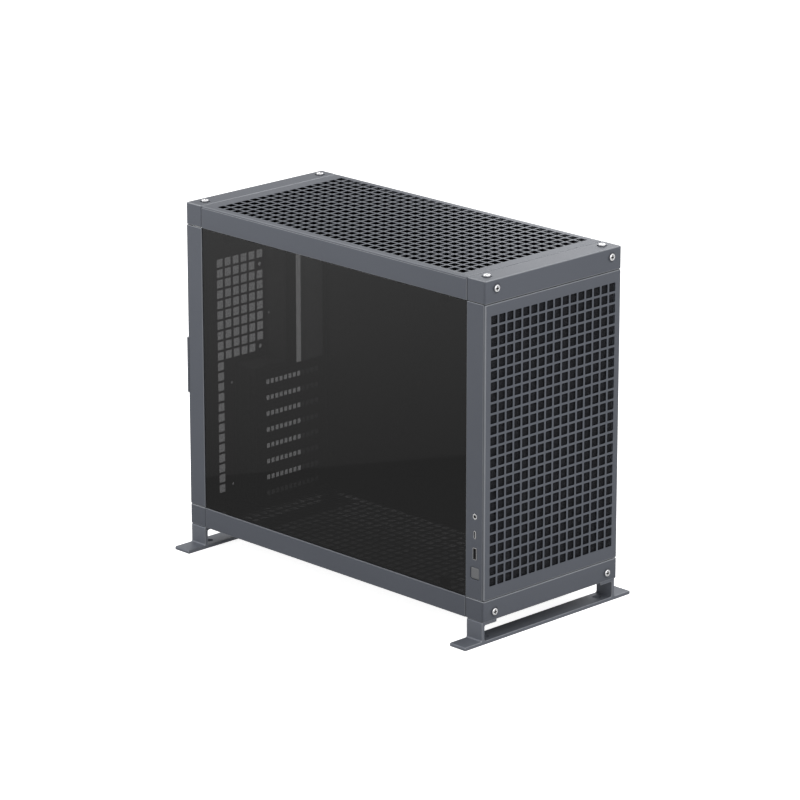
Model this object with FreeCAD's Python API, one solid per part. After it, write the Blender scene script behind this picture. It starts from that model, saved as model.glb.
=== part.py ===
import FreeCAD, Part
import math
import os

# Tower computer case, in millimetres.
# +Z is up, the front faces -Y and the glass side faces -X.
# The origin lies on the floor, under the middle of the case.

# Overall size
case_width = 223.6
case_depth = 503.4
body_height = 406.6
foot_height = 28.0

# Crossbars, side rails and pillars
top_bar_height = 27.5
bottom_bar_height = 25.5
front_bar_depth = 29.5
rear_bar_depth = 26.5
bar_wall = 2.5
bar_end_block = 32.0
channel_wall = 2.0
channel_flange = 9.0
edge_chamfer = 1.0
seam = 0.4
groove_depth = 0.8

# Lip on the rear edge of the rear left pillar
lip_height = 70.0
lip_reach = 2.8

# Perforated plates: square cells between narrow bars
grille_thickness = 2.4
cell_hole = 10.0
cell_bar = 3.0
grille_side_margin = 9.0
front_margin_low = 16.5
front_margin_high = 14.5
top_margin_front = 15.5
top_margin_rear = 18.5
merged_cells = 4
floor_thickness = 1.2
filter_thickness = 0.6

# Side panels
side_recess = 0.8
side_gap = 0.6
glass_thickness = 4.0
panel_sheet = 1.2
panel_rim = 4.0
clip_length = 14.0
clip_height = 11.0
clip_width = 4.2
clip_inset = 40.0

# Screw heads: round ones on the frame, hexagonal ones out of sight
frame_screw_inset = 17.0
face_screw_inset = 10.5
top_screw_inset = 14.8
round_head_width = 8.8
round_head_height = 2.5
round_head_sides = 14
hex_head_width = 6.4
hex_head_height = 2.0

# Feet: each is one long strip with a post and a flange near both ends
foot_plate = 4.5
foot_depth = 25.0
foot_overhang = 27.7
foot_flange = 24.3
foot_bend = 1.8
foot_setback_front = 2.5
foot_setback_rear = 0.8
foot_access_radius = 5.5

# Power button on the front left pillar
port_line_inset = 15.1
button_height = 56.8
button_size_y = 13.0
button_size_z = 13.6
button_gap = 0.5
button_recess = 0.7
button_depth = 6.0
button_travel = 1.2
collar_reach = 1.2
collar_thickness = 1.0
collar_gap = 0.3
stem_size = 4.4
stem_length = 3.2
stem_gap = 0.4
switch_size = 6.4
switch_length = 5.0

# Ports above the button, on their circuit board
usb_a_height = 80.5
usb_a_width = 14.4
usb_a_thickness = 6.2
usb_a_length = 14.0
usb_c_height = 103.3
usb_c_width = 9.6
usb_c_thickness = 3.8
usb_c_length = 8.0
jack_height = 125.3
jack_radius = 3.5
jack_bore_radius = 1.8
jack_length = 12.0
port_clearance = 0.15
shell_wall = 0.5
tongue_setback = 1.0
board_thickness = 1.6
board_reach = 24.0
board_margin = 8.0
spacer_size = 5.0

# Rear panel and its vents
rear_sheet = 1.2
rear_panel_inset = 5.8
vent_side_inset = 23.2
vent_top_inset = 71.4
vent_well_gap = 3.0
vent_step_gap = 8.0
vent_floor_gap = 13.0
merged_vents = 2

# Mainboard openings in the well that is sunk into the rear
socket_opening_shift = 6.8
socket_opening_drop = 9.0
socket_opening_width = 44.45
socket_opening_height = 158.75
slot_count = 8
slot_pitch = 20.32
first_slot_drop = 14.1
slot_opening_lead = 58.6
slot_opening_length = 98.0
slot_opening_height = 13.0
well_depth = 36.0
well_slot_margin = 7.5
well_socket_margin = 15.6
well_tray_margin = 2.7
well_low_margin = 11.0
well_step_rise = 18.4
well_top_margin = 9.0

# Slot covers
cover_height = 18.4
cover_sheet = 0.8
cover_lap = 0.8
cover_tab = 11.4
cover_vent_inset = 6.0
cover_vent_height = 7.0

# Tray that carries the mainboard
tray_sheet = 1.2
tray_front_inset = 36.0
tray_top_inset = 12.0
standoff_height = 6.35
standoff_width = 5.5
board_top_gap = 4.0
board_back_gap = 2.0
board_edge_row = 6.35
board_row_gap_high = 157.48
board_row_gap_low = 124.46
board_edge_column = 10.16
board_column_gap_rear = 154.94
board_column_gap_front = 72.39
cable_slot_width = 30.0
cable_slot_height = 46.0
cable_slot_inset = 26.0
cable_slot_count = 4

# Strips behind the front grille that fans screw to
fan_rail_sheet = 1.2
fan_rail_width = 26.0
fan_rail_spacing = 105.0
fan_slot_width = 5.0
fan_slot_length = 44.0
fan_slot_count = 6

# Mains inlet in the rear panel
inlet_width = 27.0
inlet_height = 20.0
inlet_flange = 3.0
inlet_flange_thickness = 2.0
inlet_depth = 24.0
inlet_wall = 2.0
inlet_fit = 0.15
inlet_drop = 76.6
pin_width = 2.0
pin_height = 4.0
pin_length = 16.0
pin_spacing = 7.0
pin_rise = 4.0

# Places that follow from the sizes above
left = -case_width / 2
right = case_width / 2
front = -case_depth / 2
back = case_depth / 2
floor_level = foot_height
top_level = foot_height + body_height
bay_low = floor_level + bottom_bar_height
bay_high = top_level - top_bar_height
bay_front = front + front_bar_depth
bay_back = back - rear_bar_depth
grille_back = front + grille_thickness
cell_pitch = cell_hole + cell_bar
glass_inner = left + side_recess + glass_thickness
floor_top = bay_low - seam
floor_under = floor_top - floor_thickness
port_line = front + port_line_inset
switch_front = left + button_recess + button_depth + stem_length + button_travel + stem_gap
board_face = port_line + max(jack_radius, usb_a_thickness / 2, switch_size / 2)
rear_inner = bay_back - rear_sheet
well_back = rear_inner - well_depth
well_front = well_back - rear_sheet
socket_left = socket_opening_shift
socket_low = (floor_level + top_level) / 2 - socket_opening_drop
socket_high = socket_low + socket_opening_height
slot_left = socket_left - slot_opening_lead
slot_right = slot_left + slot_opening_length
tray_face = socket_left + socket_opening_width + standoff_height
well_right = tray_face - well_tray_margin
inlet_middle = (well_right + rear_sheet + right - rear_panel_inset) / 2
inlet_level = top_level - inlet_drop
board_rows = (board_edge_row,
              board_edge_row + board_row_gap_high,
              board_edge_row + board_row_gap_high + board_row_gap_low)
board_columns = (board_edge_column,
                 board_edge_column + board_column_gap_rear,
                 board_edge_column + board_column_gap_rear + board_column_gap_front)
frame_screw_places = (left + frame_screw_inset, right - frame_screw_inset)

AXES = {"x": FreeCAD.Vector(1, 0, 0), "y": FreeCAD.Vector(0, 1, 0), "z": FreeCAD.Vector(0, 0, 1)}


def block(x, y, z):
    """Box between two values on each axis."""
    low = FreeCAD.Vector(min(x), min(y), min(z))
    return Part.makeBox(abs(x[1] - x[0]), abs(y[1] - y[0]), abs(z[1] - z[0]), low)


def point(axis, level, a, b):
    """Point on the plane axis = level. Its other two coordinates are a and b, in x, y, z order."""
    if axis == "x":
        return FreeCAD.Vector(level, a, b)
    if axis == "y":
        return FreeCAD.Vector(a, level, b)
    return FreeCAD.Vector(a, b, level)


def rectangle(a, b):
    """Corners of a rectangle between two values each way."""
    return [(a[0], b[0]), (a[1], b[0]), (a[1], b[1]), (a[0], b[1])]


def polygon(a, b, width, sides=6):
    """Corners of a regular polygon about a point, with its width measured across the flats."""
    radius = width / 2 / math.cos(math.pi / sides)
    turns = [2 * math.pi / sides * corner for corner in range(sides)]
    return [(a + radius * math.cos(turn), b + radius * math.sin(turn)) for turn in turns]


def centred(middle, size):
    """Low and high end of a size about its middle."""
    return (middle - size / 2, middle + size / 2)


def mirrored_x(shape):
    """The same piece on the other side of the case."""
    return shape.mirror(FreeCAD.Vector(0, 0, 0), AXES["x"])


def plate(axis, levels, outline, holes=()):
    """Flat plate square to an axis, with its outline and holes given as lists of corners."""
    wires = []
    for corners in [outline] + list(holes):
        loop = [point(axis, min(levels), a, b) for a, b in corners]
        wires.append(Part.makePolygon(loop + loop[:1]))
    face = Part.makeFace(wires, "Part::FaceMakerBullseye")
    return face.extrude(AXES[axis] * abs(levels[1] - levels[0]))


def rod(axis, levels, a, b, radius):
    """Cylinder along an axis between two levels."""
    base = point(axis, min(levels), a, b)
    return Part.makeCylinder(radius, abs(levels[1] - levels[0]), base, AXES[axis])


def round_head(axis, direction, seat, a, b):
    """Round screw head, with few sides, whose top faces along the axis, or against it."""
    return plate(axis, (seat, seat + direction * round_head_height),
                 polygon(a, b, round_head_width, round_head_sides))


def hex_head(axis, direction, seat, a, b):
    """Hexagonal screw head whose top faces along the axis, or against it."""
    return plate(axis, (seat, seat + direction * hex_head_height), polygon(a, b, hex_head_width))


def cells(low, high, merged=1, place=0.5):
    """Ends of the cells that fit between two edges. The spare room is shared out before and after
    them by place, which is 0 to start at the low edge. Merged cells take the room of several."""
    count = int((high - low + cell_bar) / cell_pitch) // merged
    step = cell_pitch * merged
    start = low + (high - low - count * step + cell_bar) * place
    return [(start + cell * step, start + (cell + 1) * step - cell_bar) for cell in range(count)]


def grille_columns(merged=1):
    """Cells across the case, the same in the front, the top and the floor."""
    return cells(left + grille_side_margin, right - grille_side_margin, merged)


def top_rows(merged=1):
    """Cells from front to back, the same in the top and the floor."""
    return cells(bay_front + top_margin_front, bay_back - top_margin_rear, merged)


def crossbar(at_front, at_top):
    """Bar across the case: solid ends, and between them a channel that is open to the inside."""
    y = (front, bay_front) if at_front else (back, bay_back)
    z = (top_level, bay_high) if at_top else (floor_level, bay_low)
    into_y = 1 if at_front else -1
    bar = block((left, right), y, z)
    bar = bar.makeChamfer(edge_chamfer, bar.Edges)
    pocket_x = (left + bar_end_block, right - bar_end_block)
    pocket_y = (y[0] + into_y * bar_wall, y[1])
    bar = bar.cut(block(pocket_x, pocket_y, (min(z) + bar_wall, max(z) - bar_wall)))
    if at_front:
        groove_y = (grille_back, grille_back + seam)
        bar = bar.cut(block((left, left + groove_depth), groove_y, z))
        bar = bar.cut(block((right - groove_depth, right), groove_y, z))
    return bar


def side_rail(at_top):
    """Left rail: a channel with its web on the outside, under the top plate or beside the floor."""
    y = (bay_front + seam, bay_back - seam)
    if at_top:
        web_z = (bay_high, top_level - grille_thickness)
        flange_tops = (web_z[0] + channel_wall, web_z[1])
    else:
        web_z = (floor_level, bay_low)
        flange_tops = (web_z[0] + channel_wall, floor_under)
    rail = block((left, left + channel_wall), y, web_z)
    for top in flange_tops:
        rail = rail.fuse(block((left, left + channel_flange), y, (top - channel_wall, top)))
    return rail.removeSplitter()


def pillar(at_front):
    """Left pillar: an upright channel with its web on the outside."""
    y = (grille_back + seam, bay_front) if at_front else (bay_back, back)
    z = (bay_low + seam, bay_high - seam)
    shape = block((left, left + channel_wall), y, z)
    for flange_front in (y[0], y[1] - channel_wall):
        flange_y = (flange_front, flange_front + channel_wall)
        shape = shape.fuse(block((left, left + channel_flange), flange_y, z))
    return shape.removeSplitter()


def front_left_pillar():
    """Pillar with openings for the power button and the ports."""
    web = (left, left + channel_wall)
    openings = [(button_height, button_size_y, button_size_z, button_gap),
                (usb_a_height, usb_a_thickness, usb_a_width, port_clearance),
                (usb_c_height, usb_c_thickness, usb_c_width, port_clearance)]
    shape = pillar(True)
    for height, thickness, width, gap in openings:
        shape = shape.cut(block(web, centred(port_line, thickness + 2 * gap),
                                centred(floor_level + height, width + 2 * gap)))
    return shape.cut(rod("x", web, port_line, floor_level + jack_height, jack_radius + port_clearance))


def rear_left_pillar():
    """Pillar with a lip at mid height, on the glass side."""
    middle = (bay_low + bay_high) / 2
    lip = block((left, left + channel_wall), (back, back + lip_reach), centred(middle, lip_height))
    return pillar(False).fuse(lip).removeSplitter()


def front_grille():
    """Front plate with a field of square cells."""
    rows = cells(bay_low + front_margin_low, bay_high - front_margin_high)
    holes = [rectangle(x, z) for x in grille_columns() for z in rows]
    return plate("y", (front, grille_back), rectangle((left, right), (bay_low + seam, bay_high - seam)), holes)


def top_grille():
    """Top plate, between the top crossbars and on the top rails."""
    outline = rectangle((left, right), (bay_front + seam, bay_back - seam))
    holes = [rectangle(x, y) for x in grille_columns(merged_cells) for y in top_rows(merged_cells)]
    return plate("z", (top_level - grille_thickness, top_level), outline, holes)


def bottom_panel():
    """Perforated floor on the flanges of the bottom rails."""
    edge = right - channel_wall - seam
    outline = rectangle((-edge, edge), (bay_front + seam, bay_back - seam))
    holes = [rectangle(x, y) for x in grille_columns(merged_cells) for y in top_rows(merged_cells)]
    return plate("z", (floor_under, floor_top), outline, holes)


def front_dust_filter():
    """Fine mesh behind the front grille, as a thin solid sheet."""
    edge = right - channel_flange - seam
    outline = rectangle((-edge, edge), (bay_low + seam, bay_high - seam))
    return plate("y", (grille_back, grille_back + filter_thickness), outline)


def top_dust_filter():
    """Fine mesh under the top grille, as a thin solid sheet."""
    edge = right - channel_flange - seam
    level = top_level - grille_thickness
    outline = rectangle((-edge, edge), (bay_front + seam, bay_back - seam))
    return plate("z", (level - filter_thickness, level), outline)


def side_outline(inset):
    """Outline of a side panel between the rails and pillars, less an inset."""
    gap = side_gap + inset
    return rectangle((bay_front + gap, bay_back - gap), (bay_low + gap, bay_high - gap))


def glass_panel():
    """Tinted pane on the left side."""
    return plate("x", (left + side_recess, glass_inner), side_outline(0))


def right_panel():
    """Sheet panel with a folded rim, on the side away from the glass."""
    outer = right - side_recess
    skin = plate("x", (outer - panel_sheet, outer), side_outline(0))
    rim = plate("x", (outer - panel_rim, outer - panel_sheet), side_outline(0), [side_outline(panel_sheet)])
    return skin.fuse(rim).removeSplitter()


def panel_clips():
    """Blocks above the floor and below the top rails that the side panels snap to."""
    clips = []
    for y in (bay_front + clip_inset, bay_back - clip_inset):
        for z in ((floor_top, floor_top + clip_height), (bay_high - clip_height, bay_high)):
            clip = block((glass_inner, glass_inner + clip_width), centred(y, clip_length), z)
            clips += [clip, mirrored_x(clip)]
    return Part.makeCompound(clips)


def foot_middle(at_front):
    """Where the middle of a foot lies from front to back."""
    if at_front:
        return front + foot_setback_front + foot_depth / 2
    return back - foot_setback_rear - foot_depth / 2


def is_foot_bend(edge):
    """Tells the long edges along both faces of a post, above the floor."""
    ends = [vertex.Point for vertex in edge.Vertexes]
    if len(ends) < 2 or abs(ends[0].y - ends[1].y) < foot_depth / 2:
        return False
    on_post = min(abs(abs(ends[0].x) - face) for face in (right, right - foot_plate)) < seam
    return on_post and ends[0].z > foot_plate / 2


def foot(at_front):
    """One foot across the case, with holes in the strip to reach the screws through."""
    y = centred(foot_middle(at_front), foot_depth)
    post_inner = right - foot_plate
    under = foot_height - foot_plate
    half = [(right + foot_overhang, 0), (right + foot_overhang, foot_plate), (right, foot_plate),
            (right, foot_height), (right - foot_flange, foot_height), (right - foot_flange, under),
            (post_inner, under), (post_inner, foot_plate)]
    shape = plate("y", y, half + [(-x, z) for x, z in reversed(half)])
    shape = shape.makeFillet(foot_bend, [edge for edge in shape.Edges if is_foot_bend(edge)])
    for x in frame_screw_places:
        shape = shape.cut(rod("z", (0, foot_plate), x, foot_middle(at_front), foot_access_radius))
    return shape


def foot_screws():
    """Heads under the flanges of both feet."""
    seat = foot_height - foot_plate
    return Part.makeCompound([hex_head("z", -1, seat, x, foot_middle(at_front))
                              for at_front in (True, False) for x in frame_screw_places])


def face_screws(at_front):
    """Four heads on the crossbars of the front or the rear."""
    direction, face = (-1, front) if at_front else (1, back)
    heights = (floor_level + face_screw_inset, top_level - face_screw_inset)
    return Part.makeCompound([round_head("y", direction, face, x, z)
                              for x in frame_screw_places for z in heights])


def top_screws():
    """Four heads on top of the crossbars."""
    places = (front + top_screw_inset, back - top_screw_inset)
    return Part.makeCompound([round_head("z", 1, top_level, x, y)
                              for x in frame_screw_places for y in places])


def power_button():
    """Square cap with a collar behind the pillar's wall and a stem that pushes the switch."""
    z = floor_level + button_height
    face = left + button_recess
    rear = face + button_depth
    collar_x = left + channel_wall + collar_gap
    cap = block((face, rear), centred(port_line, button_size_y), centred(z, button_size_z))
    rim = [edge for edge in cap.Edges if abs(edge.BoundBox.XMax - face) < button_gap / 2]
    cap = cap.makeChamfer(button_gap, rim)
    collar = block((collar_x, collar_x + collar_thickness),
                   centred(port_line, button_size_y + 2 * collar_reach),
                   centred(z, button_size_z + 2 * collar_reach))
    stem = block((rear, rear + stem_length), centred(port_line, stem_size), centred(z, stem_size))
    return cap.fuse(collar).fuse(stem).removeSplitter()


def power_switch():
    """Push switch behind the power button."""
    z = floor_level + button_height
    return block((switch_front, switch_front + switch_length), centred(port_line, switch_size),
                 centred(z, switch_size))


def port_board():
    """Circuit board behind the ports, cut back beside the power button."""
    wall = left + channel_wall + port_clearance
    far = wall + board_reach
    low = floor_level + button_height - board_margin
    step = floor_level + usb_a_height - usb_a_width / 2
    high = floor_level + jack_height + board_margin
    outline = [(switch_front, low), (far, low), (far, high), (wall, high), (wall, step),
               (switch_front, step)]
    return plate("y", (board_face, board_face + board_thickness), outline)


def board_spacers():
    """Two posts between the port board and the pillar's rear flange."""
    wall = left + channel_wall + port_clearance
    y = (board_face + board_thickness, bay_front - channel_wall)
    return Part.makeCompound([block((wall, wall + spacer_size), y, centred(floor_level + height, spacer_size))
                              for height in (usb_a_height, jack_height)])


def port_shell(height, width, thickness, length):
    """Open metal shell of a port with its tongue inside and a base down to the board."""
    z = floor_level + height
    inside = (left, left + length - shell_wall)
    shell = block((left, left + length), centred(port_line, thickness), centred(z, width))
    shell = shell.cut(block(inside, centred(port_line, thickness - 2 * shell_wall),
                            centred(z, width - 2 * shell_wall)))
    tongue = block((left + tongue_setback, left + length - shell_wall),
                   centred(port_line, thickness / 4), centred(z, width - 4 * shell_wall))
    base = block((left + length / 2, left + length), (port_line + thickness / 2, board_face),
                 centred(z, width))
    return shell.fuse(tongue).fuse(base).removeSplitter()


def usb_a_port():
    """Large rectangular port."""
    return port_shell(usb_a_height, usb_a_width, usb_a_thickness, usb_a_length)


def usb_c_port():
    """Small rectangular port."""
    return port_shell(usb_c_height, usb_c_width, usb_c_thickness, usb_c_length)


def audio_jack():
    """Round headset socket."""
    z = floor_level + jack_height
    barrel = rod("x", (left, left + jack_length), port_line, z, jack_radius)
    return barrel.cut(rod("x", (left, left + jack_length - shell_wall), port_line, z, jack_bore_radius))


def slot_height(slot):
    """Height of the middle of a slot, counted from the top one."""
    return socket_low - first_slot_drop - slot * slot_pitch


def well_corners(spread):
    """Stepped outline of the well, grown by a spread."""
    x = (slot_left - well_slot_margin - spread, well_right + spread)
    z = (slot_height(slot_count - 1) - well_low_margin - spread, socket_high + well_top_margin + spread)
    step = (socket_left - well_socket_margin - spread, slot_height(0) + well_step_rise + spread)
    return [(x[0], z[0]), (x[1], z[0]), (x[1], z[1]), (step[0], z[1]), step, (x[0], step[1])]


def rear_vents():
    """Cells above the slots, and one column of them that runs on down beside the slots."""
    first = left + vent_side_inset
    top = top_level - vent_top_inset
    step_x, step_z = well_corners(rear_sheet)[4]
    columns = cells(first, step_x - vent_well_gap, merged_vents, 0)
    rows = cells(step_z + vent_step_gap, top, merged_vents, 1)
    tail = (first, first + cell_hole)
    tail_rows = cells(floor_top + vent_floor_gap, rows[0][0] - cell_bar, merged_vents, 1)
    return [rectangle(x, z) for x in columns for z in rows] + [rectangle(tail, z) for z in tail_rows]


def rear_panel():
    """Flat rear sheet with vents, the well's cut-out and the mains inlet's cut-out."""
    wide = right - rear_panel_inset
    narrow = right - channel_flange - seam
    shoulder = bay_high - seam
    crown = top_level - grille_thickness - filter_thickness - seam
    half = [(wide, floor_top), (wide, shoulder), (narrow, shoulder), (narrow, crown)]
    inlet = rectangle(centred(inlet_middle, inlet_width), centred(inlet_level, inlet_height))
    return plate("y", (rear_inner, bay_back), half + [(-x, z) for x, z in reversed(half)],
                 rear_vents() + [well_corners(0), inlet])


def rear_well():
    """Folded frame that is sunk into the case behind the rear panel."""
    return plate("y", (well_back, rear_inner), well_corners(rear_sheet), [well_corners(0)])


def slot_wall():
    """Front wall of the well, with the mainboard's opening and the slots."""
    wall = well_corners(rear_sheet)
    flange = tray_face + tray_sheet
    wall[1:3] = [(flange, wall[1][1]), (flange, wall[2][1])]
    holes = [rectangle((socket_left, socket_left + socket_opening_width), (socket_low, socket_high))]
    for slot in range(slot_count):
        holes.append(rectangle((slot_left, slot_right), centred(slot_height(slot), slot_opening_height)))
    return plate("y", (well_front, well_back), wall, holes)


def slot_cover(slot):
    """Vented blank over one slot, with a tab folded round the corner of the well."""
    corner = well_corners(rear_sheet)[0][0]
    z = centred(slot_height(slot), cover_height)
    outline = rectangle((corner - cover_sheet, slot_right + cover_lap), z)
    vent = rectangle((slot_left + cover_vent_inset, slot_right - cover_vent_inset),
                     centred(slot_height(slot), cover_vent_height))
    face = plate("y", (well_front - cover_sheet, well_front), outline, [vent])
    tab = block((corner - cover_sheet, corner), (well_front, well_front + cover_tab), z)
    return face.fuse(tab).removeSplitter()


def slot_screws():
    """Heads on the tabs of the slot covers."""
    seat = well_corners(rear_sheet)[0][0] - cover_sheet
    return Part.makeCompound([hex_head("x", -1, seat, well_front + cover_tab / 2, slot_height(slot))
                              for slot in range(slot_count)])


def motherboard_tray():
    """Upright sheet behind the mainboard, with openings for cables towards the front."""
    y = (front + tray_front_inset, well_front)
    z = (floor_top, top_level - tray_top_inset)
    room = (z[1] - z[0]) / cable_slot_count
    slot_y = (y[0] + cable_slot_inset, y[0] + cable_slot_inset + cable_slot_width)
    holes = [rectangle(slot_y, centred(z[0] + room * (slot + 0.5), cable_slot_height))
             for slot in range(cable_slot_count)]
    return plate("x", (tray_face, tray_face + tray_sheet), rectangle(y, z), holes)


def standoffs():
    """Hexagonal posts on the tray in the mainboard's hole pattern."""
    x = (tray_face - standoff_height, tray_face)
    board_back = well_front - board_back_gap
    board_top = socket_high + board_top_gap
    return Part.makeCompound([plate("x", x, polygon(board_back - column, board_top - row, standoff_width))
                              for row in board_rows for column in board_columns])


def fan_rail():
    """Left one of the two slotted strips behind the front filter."""
    x = -fan_rail_spacing / 2
    y = grille_back + filter_thickness
    z = (bay_low, bay_high)
    room = (z[1] - z[0]) / fan_slot_count
    holes = [rectangle(centred(x, fan_slot_width), centred(z[0] + room * (slot + 0.5), fan_slot_length))
             for slot in range(fan_slot_count)]
    return plate("y", (y, y + fan_rail_sheet), rectangle(centred(x, fan_rail_width), z), holes)


def mains_inlet():
    """Recessed three-pin inlet with a flange on the rear panel."""
    x, z = inlet_middle, inlet_level
    deep = bay_back - inlet_depth
    face = bay_back + inlet_flange_thickness
    flange = block(centred(x, inlet_width + 2 * inlet_flange), (bay_back, face),
                   centred(z, inlet_height + 2 * inlet_flange))
    body = block(centred(x, inlet_width - 2 * inlet_fit), (deep, bay_back),
                 centred(z, inlet_height - 2 * inlet_fit))
    room = block(centred(x, inlet_width - 2 * inlet_wall), (deep + inlet_wall, face),
                 centred(z, inlet_height - 2 * inlet_wall))
    inlet = flange.fuse(body).cut(room)
    for side, rise in ((-1, 0), (0, pin_rise), (1, 0)):
        pin_y = (deep + inlet_wall, deep + inlet_wall + pin_length)
        inlet = inlet.fuse(block(centred(x + side * pin_spacing, pin_width), pin_y,
                                 centred(z + rise - pin_rise / 2, pin_height)))
    return inlet.removeSplitter()


PIECES = {
    "front_top_crossbar": crossbar(True, True),
    "front_bottom_crossbar": crossbar(True, False),
    "rear_top_crossbar": crossbar(False, True),
    "rear_bottom_crossbar": crossbar(False, False),
    "left_top_rail": side_rail(True),
    "left_bottom_rail": side_rail(False),
    "right_top_rail": mirrored_x(side_rail(True)),
    "right_bottom_rail": mirrored_x(side_rail(False)),
    "front_left_pillar": front_left_pillar(),
    "front_right_pillar": mirrored_x(pillar(True)),
    "rear_left_pillar": rear_left_pillar(),
    "rear_right_pillar": mirrored_x(pillar(False)),
    "front_grille": front_grille(),
    "top_grille": top_grille(),
    "bottom_panel": bottom_panel(),
    "front_dust_filter": front_dust_filter(),
    "top_dust_filter": top_dust_filter(),
    "glass_panel": glass_panel(),
    "right_panel": right_panel(),
    "panel_clips": panel_clips(),
    "front_foot": foot(True),
    "rear_foot": foot(False),
    "foot_screws": foot_screws(),
    "front_screws": face_screws(True),
    "rear_screws": face_screws(False),
    "top_screws": top_screws(),
    "power_button": power_button(),
    "power_switch": power_switch(),
    "port_board": port_board(),
    "board_spacers": board_spacers(),
    "usb_a_port": usb_a_port(),
    "usb_c_port": usb_c_port(),
    "audio_jack": audio_jack(),
    "rear_panel": rear_panel(),
    "rear_well": rear_well(),
    "slot_wall": slot_wall(),
    "slot_screws": slot_screws(),
    "motherboard_tray": motherboard_tray(),
    "standoffs": standoffs(),
    "left_fan_rail": fan_rail(),
    "right_fan_rail": mirrored_x(fan_rail()),
    "mains_inlet": mains_inlet(),
}
for slot in range(slot_count):
    PIECES[f"slot_cover_{slot + 1}"] = slot_cover(slot)

os.makedirs("parts", exist_ok=True)
for name, shape in PIECES.items():
    shape.exportStep(f"parts/{name}.step")
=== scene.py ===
import bmesh
import bpy
import math
import numpy as np
from mathutils import Euler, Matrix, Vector
from mathutils.geometry import delaunay_2d_cdt


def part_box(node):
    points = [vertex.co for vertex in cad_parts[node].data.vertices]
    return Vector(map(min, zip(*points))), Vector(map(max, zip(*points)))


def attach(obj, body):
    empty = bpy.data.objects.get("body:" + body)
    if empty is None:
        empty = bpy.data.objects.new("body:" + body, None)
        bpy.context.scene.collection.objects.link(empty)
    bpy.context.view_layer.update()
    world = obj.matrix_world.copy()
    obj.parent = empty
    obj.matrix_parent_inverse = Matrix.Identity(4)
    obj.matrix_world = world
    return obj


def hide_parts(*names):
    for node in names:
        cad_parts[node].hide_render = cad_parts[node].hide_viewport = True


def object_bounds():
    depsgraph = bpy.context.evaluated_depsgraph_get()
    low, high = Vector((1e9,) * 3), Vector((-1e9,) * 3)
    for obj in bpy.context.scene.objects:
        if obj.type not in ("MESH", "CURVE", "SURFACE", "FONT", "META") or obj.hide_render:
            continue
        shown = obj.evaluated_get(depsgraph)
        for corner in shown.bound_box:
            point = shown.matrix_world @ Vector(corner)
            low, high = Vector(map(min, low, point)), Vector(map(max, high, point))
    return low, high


# Tower computer case: the dressed pieces over the CAD frame, the studio and the camera.
# Shapes are worked out in millimetres and scaled to metres when their mesh is made.

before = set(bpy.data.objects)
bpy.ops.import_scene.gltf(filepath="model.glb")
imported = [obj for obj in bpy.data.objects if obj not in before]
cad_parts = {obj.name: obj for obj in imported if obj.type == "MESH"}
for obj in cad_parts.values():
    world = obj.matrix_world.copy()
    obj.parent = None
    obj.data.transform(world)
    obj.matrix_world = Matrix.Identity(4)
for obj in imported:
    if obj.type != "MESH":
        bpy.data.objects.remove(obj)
cad_low, cad_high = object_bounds()
MM = 0.001

# Tolerances: in millimetres, and for the weld in metres
angle_hint = 1e-9
same_point = 1e-5
touching = 1e-4
fill_slack = 1e-6
weld_reach = 2e-6
weld_speck = 1e-6

# Arcs, rims and seams
arc_steps = 3
rim_steps = 2
circle_sides = 32
hole_sides = 16
smooth_angle = 40
end_rim_share = 0.9
bar_radius = 1.3
fine_rim = 0.2
fold_rim = 0.7
plate_corner = 1.6
plate_rim = 1.3
seam = 0.4
sheet_corner = 0.8
sheet_rim = 0.3
small_rim = 0.15
thin_rim = 0.1
mouth_rim = 0.08

# Perforated plates
cell_hole = 10.3
cell_bar = 2.7
cell_pitch = cell_hole + cell_bar
cell_corner = 0.7
cell_sheet = 0.6
cell_field_margin = 6.0
cell_columns = 16
front_rows = 25
front_rows_rise = 1.0
long_rows = 32
# Strength of the rim mark on the top grille: edge wear with a painted edge highlight
top_wear_and_highlight = 0.6
floor_filter_inset = 2.0
floor_filter_gap = 0.3
floor_filter_sheet = 0.4

# Pan head screws
cad_head_radius = 4.4
head_radius = 4.3
head_height = 2.5
head_sides = 48
head_smooth_angle = 50
head_rings = 18
head_ring_power = 0.9
head_pole = 0.001
head_power = 7
cross_reach = 2.9
cross_half = 0.75
cross_depth = 2.0
cross_slope = 0.25
cross_end_slope = 0.6
cross_shade_from = 0.6
recess_radius = 6.5
recess_depth = 0.8
recess_rim = 0.35

# Hexagon head screws
hex_width = 6.4
hex_height = 2.0
hex_foot = 0.5
hex_corner = 0.35
hex_cross_half = 0.45
hex_cross_reach = 1.9
hex_cross_depth = 1.1
washer_spread = 1.1
washer_height = 0.7
washer_sides = 24

# Bars, rails, pillars
bar_wall = 2.5
bar_end_block = 32.0
channel_wall = 2.0
flange_setback = 0.3
groove_width = 0.4
groove_depth = 0.8
groove_end = 0.1
front_plate = 2.4
lip_height = 70.0

# Side panels
glass_rim = 0.6
panel_rim = 0.55
panel_wall = 1.2

# Feet
foot_plate = 4.5
foot_bend = 2.0
foot_tip = 1.4
foot_overhang = 27.7
foot_flange = 24.3
foot_access_radius = 5.5

# Button on the front left pillar
button_size = np.array([13.0, 13.6])
button_depth = 6.0
button_corner = 1.8
button_gap = 0.5
collar_setback = 1.6
collar_thickness = 1.0
stem_setback = 5.5
stem_size = 4.4
stem_corner = 0.4

# Ports on the front left pillar
port_clearance = 0.15
port_lip = 0.6
port_rim = 0.12
port_base_inset = 0.4
shell_wall = 0.5
lining_wall = 0.3
lining_rim = 0.05
tongue_setback = 1.0
tongue_share = 8
usb_a_corner = 0.9
usb_c_steps = 8
usb_c_flat = 0.01
jack_bore_radius = 1.8
jack_ring = 1.0
jack_barrel_play = 0.05

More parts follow.
